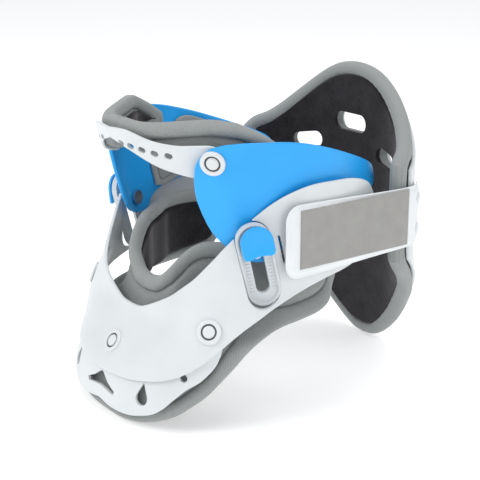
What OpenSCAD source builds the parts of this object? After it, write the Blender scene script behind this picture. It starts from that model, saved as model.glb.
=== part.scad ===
// Two-piece adjustable cervical collar, wearer facing -Y, millimetres

/* [Height adjustment] */
// Travel of the chin support from its highest place down to its lowest
height_travel = 22; // [12:1:22]
// Forward lean of the height slots
slot_lean = 14; // [12:1:16]
// Width of the height slot
slot_w = 7.4; // [6.8:0.2:7.8]
// Diameter of the slider pin
pin_d = 6.2; // [5.4:0.2:6.4]
// How far a height button travels when pressed
press_travel = 1.2; // [0.8:0.1:1.2]

/* [Shells] */
// Thickness of the white front shell
shell_t = 2; // [1.6:0.1:2.2]
// Thickness of the flap that rests on the breastbone
flap_t = 1.6; // [1.2:0.1:1.8]
// Thickness of the blue arms
arm_t = 2.2; // [1.8:0.1:2.4]
// Thickness of the chin plate
plate_t = 2; // [1.6:0.1:2.2]
// Thickness of the rear shell
rear_t = 2.2; // [1.8:0.1:2.4]

/* [Padding] */
// Thickness of the foam pads under their lining
foam_t = 6; // [5:0.2:6]
// Thickness of the soft black lining
lining_t = 1.6; // [1.2:0.1:1.6]

/* [Straps] */
// Height of the hook-and-loop patch on each strap
patch_h = 33; // [28:1:34]
// Length of the hook-and-loop patch on each strap
patch_l = 80; // [60:1:82]

/* [Hidden] */
$fn = 48;
GAP = 0.2;                   // gap between stacked layers of one assembly
FIT = 0.05;                  // radial clearance of pins and rivets in their bores
TL = tan(slot_lean);

// Outer face of the front shell by height: z, half width, depth, roundness
SKIN = [[-3, 86, 102.5, 2.5], [17, 88, 100, 2.4], [30, 86.5, 96, 2.3], [42, 83.5, 87.5, 2.65],
        [59, 78, 77.3, 3.5], [77, 73.5, 75, 2.85], [108, 76, 69.5, 2.25], [150, 76, 69.5, 2.2]];
WING_BACK = 81;              // depth of the wings' oval behind the neck's centre
SIDE_ROUND = 2.4;            // roundness of the ovals behind the neck's centre
AXIS_Y = -6.38;              // y of the axis that all the ovals turn about

// Front shell edges by angle from the front: angle, bottom z, top z
SHELL_EDGE = [[0, 26.5, 61.5], [7, 27, 62.2], [12, 27.4, 64.6], [17, 28, 67.8], [22.5, 29.3, 71.8],
              [27, 30.6, 75.5], [32, 33, 81], [36, 36, 85.5], [40, 40, 91.2], [44, 44.7, 97],
              [48, 50.5, 103], [52, 56, 108.5], [57, 61.2, 116], [62, 65, 122], [68, 69, 127.8],
              [75, 72.5, 132.3], [85, 76.5, 135.6], [97, 80, 135.9], [110, 82.8, 134.5],
              [121, 87, 129], [127, 95, 120]];
FLAP_EDGE = [[0, 8.8, 55], [8, 7, 56], [16, 7.4, 60], [21.5, 9.4, 63], [26, 12, 66.5], [29.8, 16.5, 69],
             [32.6, 21.2, 71], [36.5, 27, 74], [41, 31.7, 77], [44, 36.3, 78], [46.3, 40.8, 76],
             [47.8, 45.7, 73], [48.9, 53, 66]];
PAD_EDGE = [[0, 0, 76], [8, 0, 77.5], [12, 0.4, 80], [18, 1.8, 86], [22, 3.3, 91], [27, 5.8, 96.5],
            [32.5, 9.8, 99.8], [38, 16, 100.8], [43.5, 22.7, 101], [48, 29.6, 101], [53, 37.3, 101],
            [58, 45, 101.5], [64, 50.8, 102], [73, 54.3, 102.5], [85, 56, 103], [100, 58.5, 102.5],
            [109, 63, 101], [116, 74, 97]];
// Front pad's neck wall, which leaves room for the arms to slide behind it, by angle:
// angle, height where the pad leaves the shell, height where it is upright, outer radius there
PAD_NECK = [[0, 57, 78, 66], [12, 57, 80, 66.5], [20, 55, 80, 67], [26, 52, 76, 64.5],
            [31, 50, 70, 62], [37, 49, 67, 60.7], [45, 49, 67, 60.4], [60, 50, 67, 60.4],
            [67, 50, 67, 61.4], [75, 50, 68, 64], [90, 50, 70, 65.5], [109, 50, 70, 65.5]];
PAD_IN = 6.2;                // how far the pad's outer face lies inside the shell's below that

// Plan of the arms' outer face, constant along the slide: y at button height, x
ARM_PLAN = [[-54.2, 44], [-52.3, 46.7], [-50, 49.8], [-46.5, 55], [-42.5, 59.2], [-38.5, 61.7],
            [-30, 65.3], [-20, 68.6], [-5, 70.3], [10, 70.3], [30, 67.5], [42, 63.8], [52, 59.5],
            [60, 55.5], [66, 51.2], [68, 49.3]];
ARM_EDGE = [[-54.2, 128, 134], [-53.5, 121, 141], [-52.4, 114, 147.5], [-51, 109, 151.2],
            [-48.4, 103.5, 156], [-45.5, 98.5, 159], [-40, 94.8, 160.8], [-35.5, 93.8, 161.2],
            [-30, 94, 161.4], [-26, 95.6, 161.4], [-22, 100.4, 161.2], [-12, 106, 160.6],
            [0, 109, 159], [9, 110.5, 157.1], [25.5, 113, 152], [45.5, 118, 144.2],
            [60, 121.5, 137.6], [66, 124, 134], [68, 126, 131.5]];
// Edges of the thin pads inside the arms, by place along the arms' plan
ARM_PAD_EDGE = [[-17, 108, 138], [-10, 107.5, 139], [0, 110.5, 140.5], [6, 111.5, 144], [12, 112.5, 149],
                [20, 114, 150], [35, 117, 144.5], [48, 120.5, 140.5], [56, 124, 137]];
ARM_PAD_T = 2.4;
BUTTON_U = -39.7;            // place of the height button along the arm's plan
BUTTON_Z = 108;
FRAME_X = 69.1;              // half width of the slot frame's outer face at the button
FRAME_TURN = 26;             // turn of the slot frame round to the front
ARM_RIVET = [-46, 151];  // place of the rivet that the chin plate turns on

// Plan of the chin plate's outer face, from the centre to the end, at z = 150
PLATE_PLAN = [[0, -84], [15, -82], [28, -75.5], [38, -66.8], [45.8, -58.4], [52.2, -54], [57.6, -48.4]];
PLATE_EDGE = [[0, 159.2, 165.2], [1, 154.2, 165.6], [2, 146.7, 161], [3, 142.2, 158.8],
              [4, 140, 159], [5, 140, 159.5], [5.6, 142.5, 158], [6, 146.5, 155]];
CHIN_PLAN = [[0, -81], [15, -79], [27, -73], [36, -64.2], [43, -55.8], [48.5, -49.5], [55, -43.5],
             [60, -35.5], [62.5, -26], [63.5, -14]];
CHIN_EDGE = [[0, 160, 170], [1, 155.5, 169.2], [2, 148.5, 169.3], [3, 144, 170.1], [4, 142, 170.9],
             [5, 142, 171.4], [6, 142.5, 170.8], [7, 143.5, 169.2], [8.2, 146, 163.6], [9, 149, 156]];
CHIN_TILT_IN = 0.25;         // how fast the chin pad leans inwards above z = 150

// Inner face of the rear panel by height: z, half width, depth
REAR = [[0, 84, 103], [30, 82, 98], [50, 80, 94], [70, 78, 90], [90, 76.8, 87.7], [110, 76.8, 87.3],
        [150, 76.8, 87.3], [186, 76.8, 88.3]];
REAR_ROUND = 3;              // roundness of the rear panel's ovals
// Rear panel edges by angle from the back: angle, bottom z, top z
REAR_EDGE = [[0, 1.2, 184.6], [5, 2.6, 184], [10, 8, 182.2], [14, 14.2, 179.6], [18, 21.2, 176],
             [23, 31.2, 170.4], [28, 40.6, 164], [32, 47, 158.6], [37, 55.2, 151.8], [42, 63, 146.2],
             [48, 71.6, 142], [51.5, 79, 137]];
REAR_VENTS = [[0, 147, 30, 12, 0], [24, 130, 24, 11, 10], [-24, 130, 24, 11, -10]];
SHELL_INSET = 9;             // how far the rear shell stays inside the pad's edge

STRAP_X = 77.4;              // half width over the insides of the straps
STRAP_T = 1.8;
PATCH_T = 1.1;
STRAP_FRONT = -25;
STRAP_Z = [85.5, 127];
STRAP_RIVETS = [98, 116];    // heights of the rivets that hold a strap to the rear shell
PATCH_Z = 107.5;
PATCH_FRONT = -16;
BEND_STEP = 6;               // spacing of the points of a strap's bend
// Plan of a strap's inner face behind its straight part: x, y
STRAP_BEND = [[77.4, 47], [77.4, 53], [77.3, 59], [76.9, 65], [75.5, 70.4], [72.6, 75], [69.2, 78.6]];
WHITE = [0.88, 0.9, 0.91];
GREY = [0.6, 0.61, 0.6];
BLUE = [0.16, 0.6, 0.93];
BLACK = [0.16, 0.16, 0.18];

// ---- Tables and curves ----
function clamp(v, lo, hi) = min(max(v, lo), hi);
function row(t, x, i = 0) = i >= len(t) - 2 || x < t[i + 1][0] ? i : row(t, x, i + 1);
function tail(v) = [for (k = [1 : len(v) - 1]) v[k]];
function chord(t, i, j) = (tail(t[j]) - tail(t[i])) / (t[j][0] - t[i][0]);
function slope(t, k) = chord(t, max(k - 1, 0), min(k + 1, len(t) - 1));
// Smooth value of table t at x, as a list of its columns after the first
function at(t, x) =
    let (v = clamp(x, t[0][0], t[len(t) - 1][0]), i = row(t, v), h = t[i + 1][0] - t[i][0],
         s = (v - t[i][0]) / h)
    (1 + 2 * s) * (1 - s) * (1 - s) * tail(t[i]) + s * (1 - s) * (1 - s) * h * slope(t, i)
    + s * s * (3 - 2 * s) * tail(t[i + 1]) + s * s * (s - 1) * h * slope(t, i + 1);
// Smooth curve through the points p, at parameter s from 0 to len(p) - 1
function curve(p, s) =
    let (n = len(p) - 1, i = clamp(floor(s), 0, n - 1), t = s - i,
         a = i > 0 ? p[i - 1] : 2 * p[0] - p[1], b = p[i], c = p[i + 1],
         d = i + 2 <= n ? p[i + 2] : 2 * p[n] - p[n - 1])
    b + 0.5 * t * ((c - a) + t * ((2 * a - 5 * b + 4 * c - d) + t * (3 * b - 3 * c + d - a)));
function unit(v) = v / norm(v);
function outward(p, s) =
    let (e = 0.02, t = unit(curve(p, min(s + e, len(p) - 1)) - curve(p, max(s - e, 0))))
    [t[1], -t[0]];

// ---- Surfaces: each takes a place along, a height and an offset outwards ----
function oval(phi, a, b, n) = pow(pow(abs(sin(phi)) / a, n) + pow(abs(cos(phi)) / b, n), -1 / n);
function skin(phi, z, off) =
    let (k = at(SKIN, z), behind = abs(phi) > 90,
         r = oval(phi, k[0] + off, (behind ? WING_BACK : k[1]) + off, behind ? SIDE_ROUND : k[2]))
    [r * sin(phi), -r * cos(phi), z];
function arm_x(u) = at(ARM_PLAN, u)[0];
function arm_turn(u) = atan((arm_x(u + 0.1) - arm_x(u - 0.1)) / 0.2);
function arm_skin(u, z, off) =
    let (w = arm_turn(clamp(u, ARM_PLAN[0][0] + 0.1, ARM_PLAN[len(ARM_PLAN) - 1][0] - 0.1)))
    [arm_x(u) + off * cos(w), u - TL * (z - BUTTON_Z) - off * sin(w), z];
function plan_skin(p, s, z, off) =
    let (q = curve(p, abs(s)) + off * outward(p, abs(s)))
    [sign(s) * q[0], q[1] - TL * (z - 150), z];
function chin_skin(s, z, off) = plan_skin(CHIN_PLAN, s, z, off - CHIN_TILT_IN * max(z - 150, 0));
function ease(v) = let (t = clamp(v, 0, 1)) t * t * (3 - 2 * t);
function pad_skin(phi, z, off) =
    let (k = at(PAD_NECK, abs(phi)), w = ease((z - k[0]) / (k[1] - k[0])), p = skin(phi, z, -PAD_IN),
         r = (1 - w) * norm([p[0], p[1]]) + w * k[2] + off)
    [r * sin(phi), -r * cos(phi), z];
function rear_skin(psi, z, off) =
    let (k = at(REAR, z), r = oval(psi, k[0] + off, k[1] + off, REAR_ROUND))
    [r * sin(psi), r * cos(psi), z];

// ---- Solids ----
// Closed sheet between two grids of points, rows of equal length, outer grid first
module sheet(outer, inner) {
    m = len(outer);
    n = len(outer[0]);
    k = m * n;
    pts = [for (g = [outer, inner]) for (r = g) for (p = r) p];
    faces = [
        for (i = [0 : m - 2]) for (j = [0 : n - 2])
            let (a = i * n + j, b = a + 1, c = a + n, d = c + 1)
            each [[a, b, c], [b, d, c], [k + a, k + c, k + b], [k + b, k + c, k + d]],
        for (i = [0 : m - 2]) each [
            [i * n, i * n + n, k + i * n], [i * n + n, k + i * n + n, k + i * n],
            [i * n + n - 1, k + i * n + n - 1, i * n + 2 * n - 1],
            [i * n + 2 * n - 1, k + i * n + n - 1, k + i * n + 2 * n - 1]],
        for (j = [0 : n - 2]) each [
            [j, k + j, j + 1], [j + 1, k + j, k + j + 1],
            [k - n + j, k - n + j + 1, 2 * k - n + j],
            [k - n + j + 1, 2 * k - n + j + 1, 2 * k - n + j]]];
    polyhedron(pts, faces, convexity = 8);
}
function steps(a, b, n) = [for (i = [0 : n]) a + (b - a) * i / n];
// Grid of places (along, z) between the bottom and top edges of table t, drawn in by inset
function places(t, list, rows, inset = 0) =
    [for (s = list) let (e = at(t, t[0][0] < 0 ? s : abs(s)))
        [for (f = steps(0, 1, rows)) [s, max(e[0], 0) + inset + f * (e[1] - max(e[0], 0) - 2 * inset)]]];
function both(a, n) = steps(-a, a, 2 * n);

module front_frame_left() {
    // Local x runs back, y up along the slide, z outwards; origin at the button's centre
    translate([FRAME_X, BUTTON_U, BUTTON_Z])
        rotate([slot_lean, 0, 0])
            rotate([0, 0, -FRAME_TURN])
                rotate([90, 0, 90])
                    children();
}
module right() {
    mirror([1, 0, 0]) children();
}

FRAME_T = 3.4;
FRAME_R = 9.6;
FRAME_LOW = -28.8;             // centre of the frame's rounded lower end
RECESS_W = 14.5;
PIN_Y = -5;
module frame_outline(grow) {
    hull() {
        translate([0, 1]) circle(FRAME_R + grow);
        translate([0, FRAME_LOW]) circle(FRAME_R + grow);
    }
}
module slot(w, depth, low, high) {
    translate([0, low, -depth]) cylinder(h = 2 * depth, d = w);
    translate([0, high, -depth]) cylinder(h = 2 * depth, d = w);
    translate([-w / 2, low, -depth]) cube([w, high - low, 2 * depth]);
}

// ---- Front assembly ----
RIVET_D = 6;
FLANGE_D = 13.6;
RIVET_IN = 5.4;              // how far a front rivet reaches inwards from the shell's outer face
FRONT_RIVETS = [[0, 41], [44, 60.5], [-44, 60.5]];
// Outward direction of the front shell at a place on it
function facing(phi, z) =
    unit(cross(skin(phi + 0.5, z, 0) - skin(phi - 0.5, z, 0), skin(phi, z + 0.5, 0) - skin(phi, z - 0.5, 0)));
module along(p, w) {
    translate(p) rotate([0, acos(w[2]), atan2(w[1], w[0])]) children();
}
module on_front(phi, z) {
    along(skin(phi, z, 0), facing(phi, z)) children();
}
module front_shell() {
    cells = places(SHELL_EDGE, both(127, 30), 7);
    color(WHITE) difference() {
        sheet([for (r = cells) [for (c = r) skin(c[0], c[1], 0)]],
              [for (r = cells) [for (c = r) skin(c[0], c[1], -shell_t)]]);
        for (p = FRONT_RIVETS) on_front(p[0], p[1])
            translate([0, 0, -12]) cylinder(h = 24, d = RIVET_D + 2 * FIT);
        for (m = [0, 1]) mirror([m, 0, 0]) {
            front_frame_left() translate([0, 0, -12]) linear_extrude(24) frame_outline(0.3);
            front_frame_left() translate([13.6, -18, -12]) cube([1.6, 17, 20]);
        }
    }
}
// Teardrop cutter at an angle from the front, its round end at height z and its tip above it
module drop(phi, z, r, tip) {
    rotate([0, 0, phi]) translate([0, -60, z]) rotate([90, 0, 0]) linear_extrude(60) {
        circle(r);
        polygon([[-r, 0.2 * r], [0, tip], [r, 0.2 * r]]);
    }
}
module sternal_flap() {
    cells = places(FLAP_EDGE, both(48.9, 19), 8);
    off = -shell_t - 0.5;
    color(WHITE) difference() {
        sheet([for (r = cells) [for (c = r) skin(c[0], c[1], off)]],
              [for (r = cells) [for (c = r) skin(c[0], c[1], off - flap_t)]]);
        for (p = FRONT_RIVETS) on_front(p[0], p[1])
            translate([0, 0, -12]) cylinder(h = 24, d = RIVET_D + 2 * FIT);
        translate([0, -60, 0]) rotate([90, 0, 0]) linear_extrude(60)
            polygon([[-14.4, 17.4], [-13, 14.6], [0, 16.4], [13, 14.6], [14.4, 17.4], [7.6, 20],
                     [1.5, 24], [-1.5, 24], [-7.6, 20]]);
        for (m = [0, 1]) mirror([m, 0, 0]) {
            drop(21.2, 19.1, 4, 8.2);
            drop(35.5, 33.4, 2.1, 2.8);
        }
    }
}
module front_rivets() {
    color("silver") for (p = FRONT_RIVETS) on_front(p[0], p[1]) {
        translate([0, 0, -RIVET_IN]) cylinder(h = RIVET_IN + 1, d = RIVET_D);
        translate([0, 0, 0.3]) cylinder(h = 1, d = FLANGE_D);
        translate([0, 0, -RIVET_IN]) cylinder(h = 0.5, d = 8);
    }
}
module pad_layer(inner_off, thick, inset) {
    cells = places(PAD_EDGE, both(116, 27), 11, inset);
    sheet([for (r = cells) [for (c = r) pad_skin(c[0], c[1], -inner_off)]],
          [for (r = cells) [for (c = r) pad_skin(c[0], c[1], -inner_off - thick)]]);
}
module front_pad() {
    color(GREY) difference() {
        pad_layer(0, foam_t, 0);
        for (p = FRONT_RIVETS) on_front(p[0], p[1])
            translate([0, 0, -RIVET_IN - 0.5]) cylinder(h = RIVET_IN, d = 9.4);
    }
}
module front_pad_lining() {
    color(BLACK) pad_layer(foam_t + 2.1, lining_t, 5);
}
module slot_frame_left() {
    color(WHITE) front_frame_left() difference() {
        translate([0, 0, -FRAME_T]) linear_extrude(FRAME_T) frame_outline(0);
        translate([0, 0, 8.8]) slot(RECESS_W, 10, FRAME_LOW + 0.6, 1);
        slot(slot_w, 10, PIN_Y - height_travel - 0.3, PIN_Y + 0.3);
    }
}
module ratchet_rail_left() {
    color(WHITE) front_frame_left() translate([4.6, 0, -FRAME_T - 0.7]) {
        for (y = [-30 : 2.5 : -3]) translate([0, y, 0]) cube([3, 1.4, 0.5]);
        translate([0, -30, 0.3]) cube([3, 28.4, 0.35]);
    }
}

// ---- Chin height carriage ----
module on_arm(u, z) {
    w = arm_turn(u);
    along(arm_skin(u, z, 0), unit([cos(w), -sin(w), -sin(w) * TL])) children();
}
HINGE_REACH = 15;            // how far a hinge rivet reaches inwards from the arm's outer face
HINGE = arm_skin(ARM_RIVET[0], ARM_RIVET[1], 0);
// On the axis that the chin plate turns on, local z outwards from its place at x
module on_hinge(x) {
    translate([x, HINGE[1], HINGE[2]]) rotate([0, 90, 0]) children();
}
module arm_left() {
    ends = [for (r = ARM_PLAN) r[0]];
    cells = places(ARM_EDGE, [for (i = [0 : len(ends) - 2]) for (h = [0, 0.5])
        ends[i] + h * (ends[i + 1] - ends[i]), ends[len(ends) - 1]], 6);
    color(BLUE) difference() {
        sheet([for (r = cells) [for (c = r) arm_skin(c[0], c[1], 0)]],
              [for (r = cells) [for (c = r) arm_skin(c[0], c[1], -arm_t)]]);
        on_hinge(30) cylinder(h = 60, d = RIVET_D + 2 * FIT);
        front_frame_left() translate([0, PIN_Y, -14]) cylinder(h = 12, d = pin_d + 2 * FIT);
    }
}
module arm_rivets() {
    color("silver") for (m = [0, 1]) mirror([m, 0, 0]) {
        on_hinge(HINGE[0] - HINGE_REACH) cylinder(h = HINGE_REACH + 0.2, d = RIVET_D);
        on_hinge(HINGE[0] - HINGE_REACH - 0.6) cylinder(h = 0.7, d = 8.4);
        on_arm(ARM_RIVET[0], ARM_RIVET[1]) translate([0, 0, 0.4]) cylinder(h = 1, d = FLANGE_D);
    }
}
module arm_pad_left() {
    cells = places(ARM_PAD_EDGE, steps(-17, 56, 24), 4);
    off = -arm_t - GAP;
    color(GREY) sheet([for (r = cells) [for (c = r) arm_skin(c[0], c[1], off)]],
                      [for (r = cells) [for (c = r) arm_skin(c[0], c[1], off - ARM_PAD_T)]]);
}

// ---- Chin rest ----
module chin_plate() {
    cells = places(PLATE_EDGE, both(6, 24), 4);
    color(WHITE) difference() {
        sheet([for (r = cells) [for (c = r) plan_skin(PLATE_PLAN, c[0], c[1], 0)]],
              [for (r = cells) [for (c = r) plan_skin(PLATE_PLAN, c[0], c[1], -plate_t)]]);
        for (m = [0, 1]) mirror([m, 0, 0]) on_hinge(30) cylinder(h = 60, d = RIVET_D + 2 * FIT);
        for (i = [0 : 4]) for (m = [0, 1]) mirror([m, 0, 0])
            let (s = 0.6 + 0.5 * i, p = plan_skin(PLATE_PLAN, s, 157.6 - 1.2 * i, 0),
                 w = outward(PLATE_PLAN, s))
            translate(p) rotate([90, 0, atan2(w[0], -w[1])]) translate([0, 0, -6])
                cylinder(h = 12, d = 3.2);
    }
}
module chin_layer(inner_off, thick, inset) {
    cells = places(CHIN_EDGE, both(9, 24), 6, inset);
    sheet([for (r = cells) [for (c = r) chin_skin(c[0], c[1], -inner_off)]],
          [for (r = cells) [for (c = r) chin_skin(c[0], c[1], -inner_off - thick)]]);
}
module chin_pad() {
    color(GREY) difference() {
        chin_layer(0, foam_t, 0);
        for (m = [0, 1]) mirror([m, 0, 0])
            on_hinge(HINGE[0] - HINGE_REACH - 1.2) cylinder(h = 20, d = 10);
    }
}
module chin_pad_lining() {
    color(BLACK) chin_layer(foam_t + 0.6, lining_t, 3.5);
}

// ---- Height buttons ----
BUTTON_R = 9;
BUTTON_LIFT = press_travel + 1;
BUTTON_X = 1.2;              // how far a button's centre lies back and up from the slot's line
module height_button_left() {
    color(BLUE) front_frame_left() difference() {
        union() {
            translate([BUTTON_X, BUTTON_X, BUTTON_LIFT]) cylinder(h = 2.1, r = BUTTON_R);
            translate([BUTTON_X - BUTTON_R, -7.2, BUTTON_LIFT]) cube([2 * BUTTON_R, 8.4, 2.1]);
        }
        translate([0, PIN_Y, 0]) cylinder(h = BUTTON_LIFT + 1.1, d = pin_d + 2 * FIT);
        translate([-12, -12, -1]) cube([26, 4.8, 8]);
    }
}
module slider_pin_left() {
    color("silver") front_frame_left() translate([0, PIN_Y, 0]) {
        translate([0, 0, -11]) cylinder(h = BUTTON_LIFT + 12, d = pin_d);
        translate([0, 0, -11.7]) cylinder(h = 1.4, d = 8.6);
    }
}
module lock_pawl_left() {
    color("silver") front_frame_left() difference() {
        union() {
            translate([-3.6, PIN_Y - 4, -5]) cube([11, 8, 0.7]);
            translate([4.6, PIN_Y + 0.9, -4.35]) cube([2.8, 1, 0.17]);
        }
        translate([0, PIN_Y, -8]) cylinder(h = 6, d = pin_d + 2 * FIT);
    }
}

// ---- Rear panel ----
module rear_vents(grow) {
    for (v = REAR_VENTS) rotate([0, 0, -v[0]]) translate([0, 60, v[1]]) rotate([-90, 0, 0])
        rotate([0, 0, v[4]]) linear_extrude(60) hull() {
            translate([(v[2] - v[3]) / 2, 0]) circle(v[3] / 2 + grow);
            translate([(v[3] - v[2]) / 2, 0]) circle(v[3] / 2 + grow);
        }
}
module rear_layer(inner_off, thick, inset, half) {
    cells = places(REAR_EDGE, both(half, 22), 12, inset);
    sheet([for (r = cells) [for (c = r) rear_skin(c[0], c[1], inner_off)]],
          [for (r = cells) [for (c = r) rear_skin(c[0], c[1], inner_off + thick)]]);
}
PAD_OFF = lining_t + GAP;
REAR_OFF = lining_t + foam_t + 2 * GAP;
module rear_pad_lining() {
    color(BLACK) difference() {
        rear_layer(0, lining_t, 6, 49);
        rear_vents(0);
    }
}
module rear_pad() {
    color(GREY) difference() {
        rear_layer(PAD_OFF, foam_t, 0, 51.5);
        rear_vents(0);
    }
}
module rear_shell() {
    color(WHITE) difference() {
        rear_layer(REAR_OFF, rear_t, SHELL_INSET, 47.3);
        rear_vents(2);
        for (z = STRAP_RIVETS) for (m = [0, 1]) mirror([m, 0, 0]) on_strap_end(z)
            translate([0, 0, -12]) cylinder(h = 24, d = 4 + 2 * FIT);
    }
}

// ---- Straps ----
// A rivet's place on the rear end of the left strap, local z outwards
module on_strap_end(z) {
    p = curve(STRAP_BEND, 5);
    w = outward(STRAP_BEND, 5);
    translate([p[0], p[1], z]) rotate([0, 0, atan2(w[1], w[0])]) rotate([0, 90, 0]) children();
}
// Plan of a strap's inner face from y0 back to the place s of its bend
function strap_path(y0, s) = concat([for (y = steps(y0, 40, 5)) [STRAP_X, y]],
                                    [for (k = steps(0, s, 10)) curve(STRAP_BEND, k)]);
function shifted(p, off) = [for (i = [0 : len(p) - 1])
    let (t = unit(p[min(i + 1, len(p) - 1)] - p[max(i - 1, 0)])) p[i] + off * [t[1], -t[0]]];
function reversed(p) = [for (i = [len(p) - 1 : -1 : 0]) p[i]];
module band(path, off, thick, low, high) {
    translate([0, 0, low]) linear_extrude(high - low)
        polygon(concat(shifted(path, off), reversed(shifted(path, off + thick))));
}
module strap_left() {
    color(WHITE) difference() {
        intersection() {
            band(strap_path(STRAP_FRONT, 6), 0, STRAP_T, STRAP_Z[0], STRAP_Z[1]);
            rotate([90, 0, 90]) linear_extrude(120) hull() {
                translate([STRAP_FRONT + 9, STRAP_Z[0] + 9]) circle(9);
                translate([STRAP_FRONT + 9, STRAP_Z[1] - 9]) circle(9);
                translate([78, STRAP_Z[0] + 5]) square([2, STRAP_Z[1] - STRAP_Z[0] - 8]);
            }
        }
        for (z = STRAP_RIVETS) on_strap_end(z)
            translate([0, 0, -12]) cylinder(h = 24, d = 4 + 2 * FIT);
    }
}
module loop_patch_left() {
    color([0.66, 0.65, 0.63])
        band(strap_path(PATCH_FRONT, (PATCH_FRONT + patch_l - STRAP_BEND[0][1]) / BEND_STEP),
             STRAP_T + 0.02, PATCH_T,
             PATCH_Z - patch_h / 2, PATCH_Z + patch_h / 2);
}
module hook_patch_left() {
    color([0.8, 0.8, 0.8]) translate([STRAP_X - PATCH_T, STRAP_FRONT + 4, PATCH_Z - 14])
        cube([PATCH_T - 0.02, 56, 28]);
}
module strap_rivets() {
    color("silver") for (m = [0, 1]) mirror([m, 0, 0]) for (z = STRAP_RIVETS) on_strap_end(z) {
        translate([0, 0, -2.6]) cylinder(h = 5, d = 4);
        translate([0, 0, 2]) cylinder(h = 0.9, d = 7);
    }
}

// Puts a piece that is drawn about the neck's axis where it belongs
module placed() {
    translate([0, AXIS_Y, 0]) children();
}

placed() front_shell();
placed() sternal_flap();
placed() front_rivets();
placed() front_pad();
placed() front_pad_lining();
placed() slot_frame_left();
placed() right() slot_frame_left();  // slot_frame_right
placed() ratchet_rail_left();
placed() right() ratchet_rail_left();  // ratchet_rail_right
placed() arm_left();
placed() right() arm_left();  // arm_right
placed() arm_rivets();
placed() arm_pad_left();
placed() right() arm_pad_left();  // arm_pad_right
placed() chin_plate();
placed() chin_pad();
placed() chin_pad_lining();
placed() height_button_left();
placed() right() height_button_left();  // height_button_right
placed() slider_pin_left();
placed() right() slider_pin_left();  // slider_pin_right
placed() lock_pawl_left();
placed() right() lock_pawl_left();  // lock_pawl_right
placed() rear_shell();
placed() rear_pad();
placed() rear_pad_lining();
placed() strap_left();
placed() right() strap_left();  // strap_right
placed() loop_patch_left();
placed() right() loop_patch_left();  // loop_patch_right
placed() hook_patch_left();
placed() right() hook_patch_left();  // hook_patch_right
placed() strap_rivets();
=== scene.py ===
import math

import bmesh
import bpy
import numpy as np
from mathutils import Matrix, Vector


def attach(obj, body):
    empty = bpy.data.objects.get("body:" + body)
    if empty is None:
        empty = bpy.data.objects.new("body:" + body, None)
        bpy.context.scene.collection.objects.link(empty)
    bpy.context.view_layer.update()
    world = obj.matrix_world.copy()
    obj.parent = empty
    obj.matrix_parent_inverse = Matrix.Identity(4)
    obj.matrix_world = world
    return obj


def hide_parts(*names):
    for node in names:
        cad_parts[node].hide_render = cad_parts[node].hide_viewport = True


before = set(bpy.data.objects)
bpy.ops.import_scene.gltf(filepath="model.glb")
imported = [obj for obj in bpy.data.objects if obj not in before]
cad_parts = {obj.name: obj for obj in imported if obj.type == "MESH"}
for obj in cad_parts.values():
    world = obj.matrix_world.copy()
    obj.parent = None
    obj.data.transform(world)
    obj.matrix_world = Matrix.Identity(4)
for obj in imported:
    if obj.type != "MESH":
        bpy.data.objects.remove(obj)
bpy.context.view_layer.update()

# ---- Measures of the collar, in millimetres, about the neck's axis; the wearer faces -Y ----
MM = 0.001
AXIS_Y = -6.38
LEAN = math.tan(math.radians(14))  # forward lean of the height slots

# Outer face of the front shell by height: z, half width, depth, roundness
SKIN = [(-3, 86, 102.5, 2.5), (17, 88, 100, 2.4), (30, 86.5, 96, 2.3), (42, 83.5, 87.5, 2.65),
        (59, 78, 77.3, 3.5), (77, 73.5, 75, 2.85), (108, 76, 69.5, 2.25), (150, 76, 69.5, 2.2)]
WING_BACK = 81
SIDE_ROUND = 2.4

# Edges by angle from the front: angle, bottom z, top z
SHELL_EDGE = [(0, 26.5, 61.5), (7, 27, 62.2), (12, 27.4, 64.6), (17, 28, 67.8), (22.5, 29.3, 71.8),
              (27, 30.6, 75.5), (32, 33, 81), (36, 36, 85.5), (40, 40, 91.2), (44, 44.7, 97),
              (48, 50.5, 103), (52, 56, 108.5), (57, 61.2, 116), (62, 65, 122), (68, 69, 127.8),
              (75, 72.5, 132.3), (85, 76.5, 135.6), (97, 80, 135.9), (110, 82.8, 134.5),
              (121, 87, 129), (127, 95, 120)]
FLAP_EDGE = [(0, 8.8, 55), (8, 7, 56), (16, 7.4, 60), (21.5, 9.4, 63), (26, 12, 66.5), (29.8, 16.5, 69),
             (32.6, 21.2, 71), (36.5, 27, 74), (41, 31.7, 77), (44, 36.3, 78), (46.3, 40.8, 76),
             (47.8, 45.7, 73), (48.9, 53, 66)]
PAD_EDGE = [(0, 0, 76), (8, 0, 77.5), (12, 0.4, 80), (18, 1.8, 86), (22, 3.3, 91), (27, 5.8, 96.5),
            (32.5, 9.8, 99.8), (38, 16, 100.8), (43.5, 22.7, 101), (48, 29.6, 101), (53, 37.3, 101),
            (58, 45, 101.5), (64, 50.8, 102), (73, 54.3, 102.5), (85, 56, 103), (100, 58.5, 102.5),
            (109, 63, 101), (116, 74, 97)]
# Neck wall of the front pad: angle, z where it leaves the shell, z where it is upright, radius there
PAD_NECK = [(0, 57, 78, 66), (12, 57, 80, 66.5), (20, 55, 80, 67), (26, 52, 76, 64.5),
            (31, 50, 70, 62), (37, 49, 67, 60.7), (45, 49, 67, 60.4), (60, 50, 67, 60.4),
            (67, 50, 67, 61.4), (75, 50, 68, 64), (90, 50, 70, 65.5), (109, 50, 70, 65.5)]
PAD_IN = 6.2

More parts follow.
